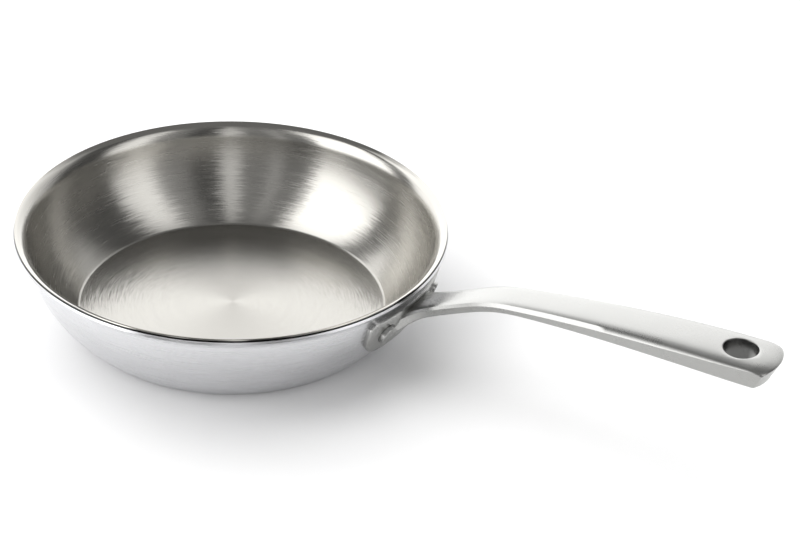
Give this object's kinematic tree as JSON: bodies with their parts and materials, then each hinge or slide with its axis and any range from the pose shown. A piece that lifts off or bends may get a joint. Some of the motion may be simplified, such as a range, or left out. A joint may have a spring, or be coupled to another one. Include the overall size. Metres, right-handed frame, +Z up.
{
  "type": "omelette pan",
  "caption": "Round omelette pan of clad steel with curved sides, a pouring lip and a long cast gooseneck handle held by two rivets, with a hanging hole.",
  "frame": {"origin": "centre of the underside of the flat base, on the resting plane", "axes": "+Z up out of the pan, +X along the handle, +Y to the left of the handle as seen by its user"},
  "size_m": [0.458, 0.252, 0.0788],
  "materials": {
    "outer_steel": "satin",
    "core_aluminium": "mill",
    "cooking_steel": "brushed in rings",
    "handle_steel": "satin, polished bevels",
    "rivet_steel": "satin"
  },
  "bodies": {
    "root": {"outer_steel_layer": "outer_steel", "aluminium_core": "core_aluminium", "cooking_surface_layer": "cooking_steel", "handle": "handle_steel", "rivet_left": "rivet_steel", "rivet_right": "rivet_steel"}
  },
  "joints": []
}
